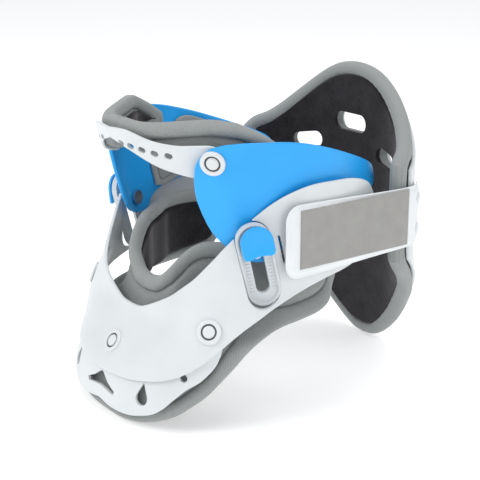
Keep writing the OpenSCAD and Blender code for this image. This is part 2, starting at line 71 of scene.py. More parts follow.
# Plan of the arms along the slide (y at button height, x), and their edges (y, bottom z, top z)
ARM_PLAN = [(-54.2, 44), (-52.3, 46.7), (-50, 49.8), (-46.5, 55), (-42.5, 59.2), (-38.5, 61.7),
            (-30, 65.3), (-20, 68.6), (-5, 70.3), (10, 70.3), (30, 67.5), (42, 63.8), (52, 59.5),
            (60, 55.5), (66, 51.2), (68, 49.3)]
ARM_EDGE = [(-54.2, 128, 134), (-53.5, 121, 141), (-52.4, 114, 147.5), (-51, 109, 151.2),
            (-48.4, 103.5, 156), (-45.5, 98.5, 159), (-40, 94.8, 160.8), (-35.5, 93.8, 161.2),
            (-30, 94, 161.4), (-26, 95.6, 161.4), (-22, 100.4, 161.2), (-12, 106, 160.6),
            (0, 109, 159), (9, 110.5, 157.1), (25.5, 113, 152), (45.5, 118, 144.2),
            (60, 121.5, 137.6), (66, 124, 134), (68, 126, 131.5)]
ARM_PAD_EDGE = [(-17, 108, 138), (-10, 107.5, 139), (0, 110.5, 140.5), (6, 111.5, 144), (12, 112.5, 149),
                (20, 114, 150), (35, 117, 144.5), (48, 120.5, 140.5), (56, 124, 137)]
ARM_RIVET = (-46, 151)
BUTTON = (69.1, -39.7, 108)  # centre of a height button on its slot frame

# Chin plate and chin pad: plans (x, y) from the middle to the end at z = 150, and edges by place on them
PLATE_PLAN = [(0, -84), (15, -82), (28, -75.5), (38, -66.8), (45.8, -58.4), (52.2, -54), (57.6, -48.4)]
PLATE_EDGE = [(0, 159.2, 165.2), (1, 154.2, 165.6), (2, 146.7, 161), (3, 142.2, 158.8),
              (4, 140, 159), (5, 140, 159.5), (5.6, 142.5, 158), (6, 146.5, 155)]
CHIN_PLAN = [(0, -81), (15, -79), (27, -73), (36, -64.2), (43, -55.8), (48.5, -49.5), (55, -43.5),
             (60, -35.5), (62.5, -26), (63.5, -14)]
CHIN_EDGE = [(0, 160, 170), (1, 155.5, 169.2), (2, 148.5, 169.3), (3, 144, 170.1), (4, 142, 170.9),
             (5, 142, 171.4), (6, 142.5, 170.8), (7, 143.5, 169.2), (8.2, 146, 163.6), (9, 149, 156)]

# Inner face of the rear panel by height, and its edges by angle from the back
REAR_ROUND = 3
REAR = [(0, 84, 103), (30, 82, 98), (50, 80, 94), (70, 78, 90), (90, 76.8, 87.7), (110, 76.8, 87.3),
        (150, 76.8, 87.3), (186, 76.8, 88.3)]
REAR_EDGE = [(0, 1.2, 184.6), (5, 2.6, 184), (10, 8, 182.2), (14, 14.2, 179.6), (18, 21.2, 176),
             (23, 31.2, 170.4), (28, 40.6, 164), (32, 47, 158.6), (37, 55.2, 151.8), (42, 63, 146.2),
             (48, 71.6, 142), (51.5, 79, 137)]
REAR_VENTS = [(0, 147, 30, 12, 0), (24, 130, 24, 11, 10), (-24, 130, 24, 11, -10)]

STRAP_X = 77.4
STRAP_BEND = [(77.4, 47), (77.4, 53), (77.3, 59), (76.9, 65), (75.5, 70.4), (72.6, 75), (69.2, 78.6)]
STRAP_FRONT = -25
STRAP_RIVETS = [98, 116]
FRONT_RIVETS = [(0, 41), (44, 60.5), (-44, 60.5)]


# ---- Tables and curves ----
def at(table, x):
    """Smooth value of a table at x: its columns after the first."""
    t = np.asarray(table, float)
    k, v = t[:, 0], t[:, 1:]
    x = np.clip(np.asarray(x, float), k[0], k[-1])
    i = np.clip(np.searchsorted(k, x, side="right") - 1, 0, len(k) - 2)
    after = np.minimum(np.arange(len(k)) + 1, len(k) - 1)
    before = np.maximum(np.arange(len(k)) - 1, 0)
    slope = (v[after] - v[before]) / (k[after] - k[before])[:, None]
    h = (k[i + 1] - k[i])[..., None]
    s = (x - k[i])[..., None] / h
    return ((1 + 2 * s) * (1 - s) ** 2 * v[i] + s * (1 - s) ** 2 * h * slope[i]
            + s * s * (3 - 2 * s) * v[i + 1] + s * s * (s - 1) * h * slope[i + 1])


def curve(points, s):
    """Smooth curve through points, at parameter s from 0 to one less than their number."""
    p = np.asarray(points, float)
    p = np.vstack([2 * p[0] - p[1], p, 2 * p[-1] - p[-2]])
    n = len(points) - 1
    s = np.clip(np.asarray(s, float), 0, n)
    i = np.clip(np.floor(s).astype(int), 0, n - 1)
    t = (s - i)[..., None]
    a, b, c, d = p[i], p[i + 1], p[i + 2], p[i + 3]
    return b + 0.5 * t * ((c - a) + t * ((2 * a - 5 * b + 4 * c - d) + t * (3 * b - 3 * c + d - a)))


def unit(v):
    return v / np.linalg.norm(v, axis=-1, keepdims=True)


def outward(points, s):
    n = len(points) - 1
    t = unit(curve(points, np.minimum(s + 0.02, n)) - curve(points, np.maximum(s - 0.02, 0)))
    return np.stack([t[..., 1], -t[..., 0]], -1)


def ease(v):
    v = np.clip(v, 0, 1)
    return v * v * (3 - 2 * v)


# ---- Surfaces: a place along, a height and an offset outwards give a point ----
def oval(angle, a, b, n):
    rad = np.radians(angle)
    return ((np.abs(np.sin(rad)) / a) ** n + (np.abs(np.cos(rad)) / b) ** n) ** (-1 / n)


def skin(phi, z, off):
    k = at(SKIN, z)
    behind = np.abs(phi) > 90
    r = oval(phi, k[..., 0] + off, np.where(behind, WING_BACK, k[..., 1]) + off,
             np.where(behind, SIDE_ROUND, k[..., 2]))
    rad = np.radians(phi)
    return np.stack([r * np.sin(rad), -r * np.cos(rad), z + 0 * r], -1)


def pad_skin(phi, z, off):
    k = at(PAD_NECK, np.abs(phi))
    w = ease((z - k[..., 0]) / (k[..., 1] - k[..., 0]))
    p = skin(phi, z, -PAD_IN)
    r = (1 - w) * np.hypot(p[..., 0], p[..., 1]) + w * k[..., 2] + off
    rad = np.radians(phi)
    return np.stack([r * np.sin(rad), -r * np.cos(rad), z + 0 * r], -1)


def arm_skin(u, z, off):
    v = np.clip(u, ARM_PLAN[0][0] + 0.1, ARM_PLAN[-1][0] - 0.1)
    turn = np.arctan((at(ARM_PLAN, v + 0.1)[..., 0] - at(ARM_PLAN, v - 0.1)[..., 0]) / 0.2)
    x = at(ARM_PLAN, u)[..., 0] + off * np.cos(turn)
    y = u - LEAN * (z - BUTTON[2]) - off * np.sin(turn)
    return np.stack([x, y, z + 0 * x], -1)


def plan_skin(plan, s, z, off):
    k = np.abs(s)
    q = curve(plan, k) + np.asarray(off)[..., None] * outward(plan, k)
    x = np.sign(s) * q[..., 0]
    return np.stack([x, q[..., 1] - LEAN * (z - 150), z + 0 * x], -1)


def plate_skin(s, z, off):
    return plan_skin(PLATE_PLAN, s, z, off)


def chin_skin(s, z, off):
    return plan_skin(CHIN_PLAN, s, z, off - 0.25 * np.maximum(z - 150, 0))


def rear_skin(psi, z, off):
    k = at(REAR, z)
    r = oval(psi, k[..., 0] + off, k[..., 1] + off, REAR_ROUND)
    rad = np.radians(psi)
    return np.stack([r * np.sin(rad), r * np.cos(rad), z + 0 * r], -1)


def strap_line():
    """Plan of a strap's inner face from its front end, with its outward directions and its run."""
    front = np.stack([np.full(40, STRAP_X), np.linspace(STRAP_FRONT, 47, 41)[:-1]], -1)
    p = np.vstack([front, curve(STRAP_BEND, np.linspace(0, 6, 70))])
    t = unit(np.gradient(p, axis=0))
    run = np.r_[0, np.cumsum(np.linalg.norm(np.diff(p, axis=0), axis=1))]
    return p, np.stack([t[:, 1], -t[:, 0]], -1), run


STRAP_POINTS, STRAP_OUT, STRAP_RUN = strap_line()


def strap_skin(run, z, off):
    p = [np.interp(run, STRAP_RUN, STRAP_POINTS[:, i]) + off * np.interp(run, STRAP_RUN, STRAP_OUT[:, i])
         for i in (0, 1)]
    return np.stack([p[0], p[1], z + 0 * p[0]], -1)


# ---- Meshes ----
def new_piece(name, points, faces, uv=None, fields=None, sharp=42):
    """A mesh object from points in millimetres about the neck's axis."""
    mesh = bpy.data.meshes.new(name)
    mesh.from_pydata(((points + [0, AXIS_Y, 0]) * MM).tolist(), [], faces)
    corners = np.zeros(len(mesh.loops), int)
    mesh.loops.foreach_get("vertex_index", corners)
    if uv is not None:
        layer = mesh.uv_layers.new(name="cloth")
        layer.data.foreach_set("uv", uv[corners].astype(np.float32).ravel())
    for field, values in (fields or {}).items():
        mesh.attributes.new(field, "FLOAT", "POINT").data.foreach_set("value", values.astype(np.float32))
    bm = bmesh.new()
    bm.from_mesh(mesh)
    if bm.calc_volume(signed=True) < 0:
        bmesh.ops.reverse_faces(bm, faces=bm.faces)
    bm.to_mesh(mesh)
    bm.free()
    return linked(name, mesh, sharp)


def linked(name, mesh, sharp=42):
    mesh.shade_smooth()
    mesh.set_sharp_from_angle(angle=math.radians(sharp))
    made = bpy.data.objects.new(name, mesh)
    bpy.context.scene.collection.objects.link(made)
    return made


def mirrored(piece, name):
    mesh = piece.data.copy()
    mesh.name = name
    mesh.transform(Matrix.Diagonal((-1, 1, 1, 1)))
    mesh.flip_normals()
    return linked(name, mesh)


def bake(piece, sharp=42):
    """Turns a piece with modifiers into its plain final mesh."""
    shape = bpy.data.meshes.new_from_object(piece.evaluated_get(bpy.context.evaluated_depsgraph_get()))
    piece.modifiers.clear()
    old, piece.data = piece.data, shape
    bpy.data.meshes.remove(old)
    shape.shade_smooth()
    shape.set_sharp_from_angle(angle=math.radians(sharp))
    return piece


def panel(name, surface, ends, edges, near, middle, faces_at, fields=None, step=2.0):
    """Closed sheet over a surface between two edges. faces_at(distance from the edge, run, z) gives
    the offsets of its outer and inner face; near holds the distances of the rows beside each edge."""
    near = np.asarray(near, float)
    fine = np.linspace(ends[0], ends[1], 900)
    low, high = edges(fine)
    plan = surface(fine, (low + high) / 2, 0 * fine)[:, :2]
    run = np.r_[0, np.cumsum(np.linalg.norm(np.diff(plan, axis=0), axis=1))]
    total = run[-1]
    side = near * min(1, 0.45 * total / near[-1])
    count = max(int((total - 2 * side[-1]) / step), 2)
    want = np.r_[side, np.linspace(side[-1], total - side[-1], count)[1:-1], total - side[::-1]]
    s = np.interp(want, run, fine)
    low, high = edges(s)
    cos_low, cos_high = (1 / np.sqrt(1 + np.gradient(e, want) ** 2) for e in (low, high))
    squeeze = np.minimum(1, 0.9 * (high - low) / (near[-1] * (1 / cos_low + 1 / cos_high)))
    below = low[:, None] + near * (squeeze / cos_low)[:, None]
    above = high[:, None] - near[::-1] * (squeeze / cos_high)[:, None]
    between = np.linspace(below[:, -1], above[:, 0], middle + 2)[1:-1].T
    z = np.hstack([below, between, above])
    gaps = [(z - low[:, None]) * cos_low[:, None], (high[:, None] - z) * cos_high[:, None],
            np.minimum(want, total - want)[:, None] + 0 * z]
    distance = sum(np.maximum(g, 1e-3) ** -6 for g in gaps) ** (-1 / 6)
    rows = z.shape[1]
    places = np.repeat(s[:, None], rows, 1)
    runs = np.repeat(want[:, None], rows, 1)
    outer, inner = faces_at(distance, runs, z)
    points = np.vstack([surface(places, z, off).reshape(-1, 3) for off in (outer, inner)])
    index = np.arange(len(s) * rows).reshape(len(s), rows)
    back = index + index.size
    quads = []
    for grid, turned in ((index, False), (back, True)):
        q = np.stack([grid[:-1, :-1], grid[1:, :-1], grid[1:, 1:], grid[:-1, 1:]], -1).reshape(-1, 4)
        quads += (q[:, ::-1] if turned else q).tolist()
    rim = np.r_[index[:, 0], index[-1, 1:], index[-2::-1, -1], index[0, -2:0:-1]]
    far = rim + index.size
    quads += np.stack([rim, far, np.roll(far, -1), np.roll(rim, -1)], -1).tolist()
    uv = np.stack([runs, z], -1).reshape(-1, 2)
    extra = {k: np.tile(f(distance).ravel(), 2) for k, f in (fields or {}).items()}
    return new_piece(name, points, quads, np.vstack([uv, uv]), extra)


def hard_sheet(top, thick, radius=0.75):
    """Faces of a moulded sheet whose outer face is at top, with rounded edges."""
    def faces_at(distance, run, z):
        lift = radius * (1 - np.sqrt(1 - (1 - np.clip(distance / radius, 0, 1)) ** 2))
        return top - lift, top - thick + lift
    return faces_at


NEAR_HARD = (0, 0.06, 0.2, 0.42, 0.75, 1.4)
NEAR_SOFT = (0, 0.12, 0.45, 1, 1.8, 2.7, 3.7, 4.7, 5.7, 6.6, 7.4, 8, 8.5, 9, 9.7, 10.7, 12)
NEAR_LINING = (0, 0.1, 0.35, 0.8, 1.6, 3)


def by_angle(table):
    def edges(s):
        k = at(table, np.abs(s))
        return np.maximum(k[..., 0], 0), k[..., 1]
    return edges


def by_place(table):
    def edges(s):
        k = at(table, s)
        return k[..., 0], k[..., 1]
    return edges


def drawn_in(edges, inset):
    def narrower(s):
        low, high = edges(s)
        return low + inset, high - inset
    return narrower


def prism(outline, low, high, place):
    """Cutter: an outline (x, y) from height low to high, in the frame of the 4 x 4 matrix place."""
    n = len(outline)
    flat = np.asarray(outline, float)
    points = np.vstack([np.c_[flat, np.full(n, h)] for h in (low, high)])
    faces = [list(range(n))[::-1], list(range(n, 2 * n))]
    faces += [[i, (i + 1) % n, n + (i + 1) % n, n + i] for i in range(n)]
    return new_piece("cutter", moved(points, place), faces)


def moved(points, place):
    m = np.array(place)
    return points @ m[:3, :3].T + m[:3, 3]


def cut(piece, cutters):
    for c in cutters:
        m = piece.modifiers.new("cut", "BOOLEAN")
        m.operation, m.solver, m.object = "DIFFERENCE", "MANIFOLD", c
    bake(piece)
    for c in cutters:
        bpy.data.objects.remove(c)
    return piece


def stadium(radius, low, high, n=20):
    top = np.linspace(0, math.pi, n)
    arc = np.c_[radius * np.cos(top), radius * np.sin(top)]
    return np.vstack([arc + [0, high], -arc + [0, low]])


def stacked(name, rings, place, closed_round=False, sharp=42):
    """A solid from outlines one above another, each an array of points. It is capped at both ends,
    or joined from the last outline back to the first."""
    n, m = len(rings[0]), len(rings)
    points = np.vstack(rings)
    faces = []
    for a in range(m if closed_round else m - 1):
        b = (a + 1) % m
        faces += [[a * n + i, a * n + (i + 1) % n, b * n + (i + 1) % n, b * n + i] for i in range(n)]
    if not closed_round:
        faces += [list(range(n))[::-1], list(range((m - 1) * n, m * n))]
    return new_piece(name, moved(points, place), faces, sharp=sharp)


def flat_ring(outline, z):
    return np.c_[outline, np.zeros(len(outline)) + z]


# ---- Repeated small things, by geometry nodes ----
def group_with(name, inputs):
    tree = bpy.data.node_groups.new(name, "GeometryNodeTree")
    tree.interface.new_socket("Geometry", in_out="INPUT", socket_type="NodeSocketGeometry")
    for label, kind in inputs:
        tree.interface.new_socket(label, in_out="INPUT", socket_type=kind)
    tree.interface.new_socket("Geometry", in_out="OUTPUT", socket_type="NodeSocketGeometry")
    return tree, tree.nodes.new("NodeGroupInput"), tree.nodes.new("NodeGroupOutput")


def finished_tree(tree, source, given, out):
    """Ends a tree: instances made real, then given the tree's material."""
    real = tree.nodes.new("GeometryNodeRealizeInstances")
    paint = tree.nodes.new("GeometryNodeSetMaterial")
    tree.links.new(source, real.inputs[0])
    tree.links.new(real.outputs[0], paint.inputs["Geometry"])
    tree.links.new(given.outputs["Material"], paint.inputs["Material"])
    tree.links.new(paint.outputs[0], out.inputs[0])


def repeat_tree():
    """Places one small part at every point, turned by the point's own rotation."""
    tree, given, out = group_with("repeated_part", [
        ("Part", "NodeSocketObject"), ("Size", "NodeSocketFloat"), ("Material", "NodeSocketMaterial")])
    spots = tree.nodes.new("GeometryNodeMeshToPoints")
    info = tree.nodes.new("GeometryNodeObjectInfo")
    turn = tree.nodes.new("GeometryNodeInputNamedAttribute")
    turn.data_type = "QUATERNION"
    turn.inputs["Name"].default_value = "turn"
    put = tree.nodes.new("GeometryNodeInstanceOnPoints")
    link = tree.links.new
    link(given.outputs["Geometry"], spots.inputs["Mesh"])
    link(given.outputs["Part"], info.inputs["Object"])
    link(spots.outputs[0], put.inputs["Points"])
    link(info.outputs["Geometry"], put.inputs["Instance"])
    link(turn.outputs["Attribute"], put.inputs["Rotation"])
    link(given.outputs["Size"], put.inputs["Scale"])
    finished_tree(tree, put.outputs[0], given, out)
    return tree


def stitch_tree():
    """Runs a row of thread stitches along a line."""
    tree, given, out = group_with("stitches", [
        ("Pitch", "NodeSocketFloat"), ("Stitch", "NodeSocketFloat"), ("Thread", "NodeSocketFloat"),
        ("Material", "NodeSocketMaterial")])
    link = tree.links.new
    line = tree.nodes.new("GeometryNodeMeshToCurve")
    even = tree.nodes.new("GeometryNodeResampleCurve")
    even.mode = "LENGTH"
    bead = tree.nodes.new("GeometryNodeMeshUVSphere")
    bead.inputs["Segments"].default_value = 6
    bead.inputs["Rings"].default_value = 4
    bead.inputs["Radius"].default_value = 1
    size = tree.nodes.new("ShaderNodeCombineXYZ")
    tangent = tree.nodes.new("GeometryNodeInputTangent")
    aim = tree.nodes.new("FunctionNodeAlignRotationToVector")
    aim.axis = "Z"
    put = tree.nodes.new("GeometryNodeInstanceOnPoints")
    link(given.outputs["Geometry"], line.inputs["Mesh"])
    link(line.outputs[0], even.inputs["Curve"])
    link(given.outputs["Pitch"], even.inputs["Length"])
    for i in (0, 1):
        link(given.outputs["Thread"], size.inputs[i])
    link(given.outputs["Stitch"], size.inputs[2])
    link(tangent.outputs[0], aim.inputs["Vector"])
    link(even.outputs[0], put.inputs["Points"])
    link(bead.outputs["Mesh"], put.inputs["Instance"])
    link(aim.outputs[0], put.inputs["Rotation"])
    link(size.outputs[0], put.inputs["Scale"])
    finished_tree(tree, put.outputs[0], given, out)
    return tree


def grown(piece, tree, values):
    """Runs a tree on a piece with the named inputs and keeps the result as a plain mesh."""
    m = piece.modifiers.new("grow", "NODES")
    m.node_group = tree
    sockets = {i.name: i.identifier for i in tree.interface.items_tree if i.in_out == "INPUT"}
    for label, value in values.items():
        m[sockets[label]] = value
    piece.data.update()
    return bake(piece)


def turn_to(out, along=None):
    """Rotation whose z points out and whose x points along."""
    z = Vector(out).normalized()
    x = Vector(along) if along is not None else z.orthogonal()
    x = (x - z * x.dot(z)).normalized()
    return Matrix((x, z.cross(x), z)).transposed().to_quaternion()


def repeated(name, part, spots, turns, material):
    mesh = bpy.data.meshes.new(name)
    mesh.from_pydata(((np.asarray(spots) + [0, AXIS_Y, 0]) * MM).tolist(), [], [])
    layer = mesh.attributes.new("turn", "QUATERNION", "POINT")
    for slot, q in zip(layer.data, turns):
        slot.value = q
    made = bpy.data.objects.new(name, mesh)
    bpy.context.scene.collection.objects.link(made)
    grown(made, REPEAT, {"Part": part, "Size": 1.0, "Material": material})
    bpy.data.objects.remove(part)
    return made


def sewn(name, line, material, pitch=2.4, stitch=0.85, thread=0.24):
    mesh = bpy.data.meshes.new(name)
    n = len(line)
    mesh.from_pydata(((line + [0, AXIS_Y, 0]) * MM).tolist(), [(i, i + 1) for i in range(n - 1)], [])
    made = bpy.data.objects.new(name, mesh)
    bpy.context.scene.collection.objects.link(made)
    return grown(made, STITCH, {"Pitch": pitch * MM, "Stitch": stitch * MM, "Thread": thread * MM,
                                "Material": material})


def lathe(name, profile, n=48):
    """A round part about z from (radius, z) pairs, around the origin, for repeating."""
    a = np.linspace(0, 2 * math.pi, n, endpoint=False)
    rings = [np.c_[r * np.cos(a), r * np.sin(a), np.full(n, z)] for r, z in profile]
    place = Matrix.Translation((0, -AXIS_Y, 0))
    return stacked(name, rings, place, sharp=50)


# ---- Finishes ----
class Finish:
    """A material's node tree, with short ways to add and join nodes."""

    def __init__(self, name, **fixed):
        self.material = bpy.data.materials.new(name)
        self.material.use_nodes = True
        self.nodes = self.material.node_tree.nodes
        self.links = self.material.node_tree.links
        self.shader = self.nodes["Principled BSDF"]
        for label, value in fixed.items():
            self.shader.inputs[label.replace("_", " ")].default_value = value

    def add(self, kind, values=None, **settings):
        node = self.nodes.new("ShaderNode" + kind)
        for key, value in settings.items():
            setattr(node, key, value)
        for key, value in (values or {}).items():
            if hasattr(value, "is_output"):
                self.links.new(value, node.inputs[key])
            else:
                node.inputs[key].default_value = value
        return node

    def place(self, scale=1.0, uv=False):
        """Coordinates in millimetres divided by scale, on the object or on the cloth's own map."""
        if uv:
            source = self.add("UVMap", uv_map="cloth").outputs[0]
        else:
            source = self.add("TexCoord").outputs["Object"]
            scale = scale * MM
        return self.add("VectorMath", {0: source, "Scale": 1 / scale}, operation="SCALE").outputs[0]

    def noise(self, vector, scale=1.0, detail=2.0, rough=0.5):
        return self.add("TexNoise", {"Vector": vector, "Scale": scale, "Detail": detail,
                                     "Roughness": rough}).outputs["Fac"]

    def ramp(self, value, *stops):
        node = self.add("ValToRGB", {"Fac": value})
        while len(node.color_ramp.elements) < len(stops):
            node.color_ramp.elements.new(0.5)
        for element, (place, colour) in zip(node.color_ramp.elements, stops):
            element.position = place
            element.color = (*colour, 1)
        return node.outputs["Color"]

    def math(self, operation, a, b=0.5):
        return self.add("Math", {0: a, 1: b}, operation=operation).outputs[0]

    def mix(self, factor, a, b):
        node = self.add("Mix", {}, data_type="RGBA")
        for i, value in ((0, factor), (6, a), (7, b)):
            if hasattr(value, "is_output"):
                self.links.new(value, node.inputs[i])
            else:
                node.inputs[i].default_value = value
        return node.outputs[2]

    def colour(self, value):
        self.links.new(value, self.shader.inputs["Base Color"])

    def roughness(self, value, low, high):
        node = self.add("MapRange", {"Value": value, "To Min": low, "To Max": high})
        self.links.new(node.outputs[0], self.shader.inputs["Roughness"])

    def bump(self, height, strength, distance):
        node = self.add("Bump", {"Height": height, "Strength": strength, "Distance": distance * MM})
        self.links.new(node.outputs[0], self.shader.inputs["Normal"])


def moulded(name, light, dark, rough=(0.32, 0.44), grain=0.05, coat=0.0):
    """Moulded plastic: faint cloudiness, a fine eggshell grain and slightly uneven gloss."""
    f = Finish(name, Coat_Weight=coat, Coat_Roughness=0.25, Specular_IOR_Level=0.45)
    cloud = f.noise(f.place(26), detail=3)
    f.colour(f.ramp(cloud, (0.3, dark), (0.7, light)))
    f.roughness(f.noise(f.place(7), detail=4), *rough)
    f.bump(f.noise(f.place(0.45), detail=2), grain, 0.2)
    return f.material


def knit(name, light, dark, rim_light):
    """Knitted cover: a mottled jersey on the foam, with fine ribs on the rolled rim, and painted shade
    darkening the sewn groove at the rim's foot.
    """
    f = Finish(name, Roughness=0.9, Sheen_Weight=0.25, Sheen_Roughness=0.5, Specular_IOR_Level=0.2)
    cloth = f.place(1.0, uv=True)
    split = f.add("SeparateXYZ", {"Vector": cloth})
    rim = f.add("Attribute", attribute_name="rim").outputs["Fac"]
    wale = f.math("SINE", f.math("MULTIPLY", split.outputs[0], 2 * math.pi / 1.05))
    course = f.math("SINE", f.math("MULTIPLY", split.outputs[1], 2 * math.pi / 0.8))
    mottle = f.noise(f.place(0.55), detail=3, rough=0.7)
    cloud = f.noise(f.place(14), detail=3)
    body = f.ramp(f.math("ADD", f.math("MULTIPLY", mottle, 0.75), f.math("MULTIPLY", cloud, 0.25)),
                  (0.34, dark), (0.62, light))
    ribs = f.ramp(f.math("MULTIPLY_ADD", wale, 0.5),
                  (0.0, tuple(0.86 * c for c in rim_light)), (0.8, rim_light))
    edge = f.mix(0.35, ribs, body)
    # painted shade: the colour is pulled towards near-black in a band along the sewn groove at the foot of
    # the rolled rim, standing in for the shadow in that crease
    groove_shade_mask = f.math("SUBTRACT", 0.5, f.math("ABSOLUTE", f.math("SUBTRACT", rim, 0.5)))
    shade = f.math("MULTIPLY", groove_shade_mask, 1.5)
    f.colour(f.mix(shade, f.mix(rim, body, edge), (0.09, 0.094, 0.093, 1)))
    loops = f.math("MULTIPLY", f.math("MULTIPLY", wale, course), 0.35)
    ribbed = f.math("ADD", f.math("MULTIPLY", f.math("MULTIPLY", wale, rim), 0.55), loops)
    f.bump(f.math("ADD", ribbed, mottle), 0.55, 0.22)
    return f.material


def velour(name):
    """Brushed black lining with a few pale fibres."""
    f = Finish(name, Roughness=0.95, Sheen_Weight=0.55, Sheen_Roughness=0.4, Specular_IOR_Level=0.15)
    f.shader.inputs["Sheen Tint"].default_value = (0.55, 0.52, 0.55, 1)
    pile = f.noise(f.place(1.3), detail=5, rough=0.7)
    brushed = f.noise(f.place(11), detail=4, rough=0.6)
    base = f.ramp(f.math("ADD", f.math("MULTIPLY", pile, 0.5), f.math("MULTIPLY", brushed, 0.5)),
                  (0.36, (0.010, 0.010, 0.012)), (0.68, (0.034, 0.031, 0.035)))
    lint = f.ramp(f.noise(f.place(0.9), detail=2, rough=0.8), (0.74, (0, 0, 0)), (0.82, (1, 1, 1)))
    f.colour(f.mix(lint, base, (0.11, 0.10, 0.095, 1)))
    f.bump(pile, 0.7, 0.5)
    return f.material


def loop_tape(name):
    """Woven loop tape: fine warp and weft with a soft uneven pile."""
    f = Finish(name, Roughness=0.92, Sheen_Weight=0.3, Sheen_Roughness=0.5, Specular_IOR_Level=0.2)
    split = f.add("SeparateXYZ", {"Vector": f.place(1.0, uv=True)})
    warp = f.math("SINE", f.math("MULTIPLY", split.outputs[1], 2 * math.pi / 0.95))
    weft = f.math("SINE", f.math("MULTIPLY", split.outputs[0], 2 * math.pi / 0.95))
    weave = f.math("MULTIPLY", warp, weft)
    pile = f.noise(f.place(0.7), detail=4, rough=0.7)
    cloud = f.noise(f.place(9), detail=3)
    tone = f.math("ADD", f.math("MULTIPLY", cloud, 0.35), f.math("MULTIPLY", pile, 0.65))
    yarn = f.ramp(tone, (0.34, (0.325, 0.318, 0.306)), (0.66, (0.40, 0.392, 0.378)))
    crossed = f.ramp(f.math("MULTIPLY_ADD", weave, 0.5), (0.0, (0.82, 0.82, 0.82)), (0.7, (1, 1, 1)))
    mixed = f.add("Mix", {}, data_type="RGBA", blend_type="MULTIPLY")
    f.links.new(yarn, mixed.inputs[6])
    f.links.new(crossed, mixed.inputs[7])
    mixed.inputs[0].default_value = 1
    f.colour(mixed.outputs[2])
    f.bump(f.math("ADD", f.math("MULTIPLY", weave, 0.5), pile), 0.6, 0.3)
    return f.material


def brushed_steel(name):
    f = Finish(name, Metallic=1.0)
    fine = f.add("Mapping", {"Vector": f.place(1.0), "Scale": (0.4, 0.4, 6)}).outputs[0]
    scratch = f.noise(fine, detail=4)
    f.colour(f.ramp(scratch, (0.3, (0.42, 0.43, 0.45)), (0.7, (0.66, 0.67, 0.69))))
    f.roughness(scratch, 0.22, 0.42)
    f.bump(scratch, 0.12, 0.05)
    return f.material


def soft_strap(name):
    """White laminated strap: smooth knit face over thin foam."""
    f = Finish(name, Roughness=0.6, Sheen_Weight=0.15, Sheen_Roughness=0.4, Specular_IOR_Level=0.35)
    cloud = f.noise(f.place(18), detail=3)
    f.colour(f.ramp(cloud, (0.3, (0.74, 0.765, 0.785)), (0.7, (0.80, 0.82, 0.835))))
    split = f.add("SeparateXYZ", {"Vector": f.place(1.0, uv=True)})
    wale = f.math("SINE", f.math("MULTIPLY", split.outputs[0], 2 * math.pi / 0.6))
    course = f.math("SINE", f.math("MULTIPLY", split.outputs[1], 2 * math.pi / 0.6))
    f.bump(f.math("ADD", f.math("MULTIPLY", wale, course), f.noise(f.place(0.5), detail=2)), 0.12, 0.12)
    return f.material


white_shell = moulded("white_shell", (0.70, 0.725, 0.735), (0.65, 0.68, 0.69), grain=0.06)
frame_white = moulded("frame_white", (0.62, 0.65, 0.665), (0.56, 0.595, 0.61), rough=(0.38, 0.5))
rivet_white = moulded("rivet_white", (0.72, 0.74, 0.75), (0.66, 0.685, 0.70), rough=(0.28, 0.36), grain=0.03)
blue_plastic = moulded("blue_plastic", (0.02, 0.40, 0.92), (0.016, 0.365, 0.87),
                       rough=(0.3, 0.42), grain=0.08)
grey_knit = knit("grey_knit", (0.31, 0.325, 0.32), (0.20, 0.21, 0.207), (0.335, 0.35, 0.345))
black_velour = velour("black_velour")
warm_loop = loop_tape("warm_loop")
strap_white = soft_strap("strap_white")
steel = brushed_steel("steel")
# near-black finish used only for the painted shade inside the rivets' rings
shadow_grey = moulded("shadow_grey", (0.10, 0.105, 0.11), (0.07, 0.074, 0.078), rough=(0.6, 0.75))
thread_grey = moulded("thread_grey", (0.22, 0.23, 0.228), (0.17, 0.18, 0.178), rough=(0.8, 0.95), grain=0.3)
hook_white = moulded("hook_white", (0.7, 0.71, 0.72), (0.62, 0.63, 0.64), rough=(0.5, 0.7), grain=0.5)
REPEAT = repeat_tree()
STITCH = stitch_tree()


def settle(piece, body, material, slot, *nodes, fill=None):
    """Gives a finished piece its finish, its body and the plain parts that it stands for."""
    if material is not None:
        piece.data.materials.clear()
        piece.data.materials.append(material)
    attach(piece, body)
    if nodes:
        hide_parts(*nodes)
    return piece


# ---- Pads ----
def rolled_rim(radius, width, body, groove=1.2):
    """Half thickness of a pad by distance from its edge: a round rim, the sewn groove at its foot,
    then the foam."""
    def half(d):
        rise = radius * np.sqrt(1 - (1 - np.clip(d / radius, 0, 1)) ** 2)
        fall = np.clip((d - radius) / (width - radius), 0, 1)
        bead = radius * np.sqrt(1 - fall ** 2.2 * (1 - (groove / radius) ** 2))
        foam = groove + (body - groove) * ease((d - width) / 3)
        return np.where(d < radius, np.maximum(rise, 0.12), np.where(d < width, bead, foam))
    return half


def uneven(run, z, size):
    """Small soft unevenness of stuffed cloth."""
    return size * (0.5 * np.sin(run / 7.3 + 1.7 * np.sin(z / 15)) + 0.35 * np.sin(run / 3.9 - z / 8.1)
                   + 0.3 * np.sin(z / 5.7 + run / 17))


def stuffed(mid, radius, width, body, proud=0.0, size=0.35):
    """Faces of a pad: rolled rim and foam about an offset mid, the rim standing proud of the foam."""
    half = rolled_rim(radius, width, body)

    def faces_at(d, run, z):
        h = half(d)
        centre = mid + proud * (1 - ease((d - width + 1) / 3))
        pucker = 0.22 * np.exp(-((d - width) / 2.2) ** 2) * np.sin(run * 2 * math.pi / 4.6)
        wave = uneven(run, z, size) * ease(d / 6)
        return centre + h + pucker + wave, centre - h - pucker + 0.6 * wave
    return faces_at


def brushed(back, edge, rise, round_off, size):
    """Faces of a lining: flat behind, and rounded over its edge on the side that shows."""
    def faces_at(d, run, z):
        over = np.sqrt(1 - (1 - np.clip(d / round_off, 0, 1)) ** 2)
        return back + 0 * d, edge + rise * over + uneven(run, z, size)
    return faces_at


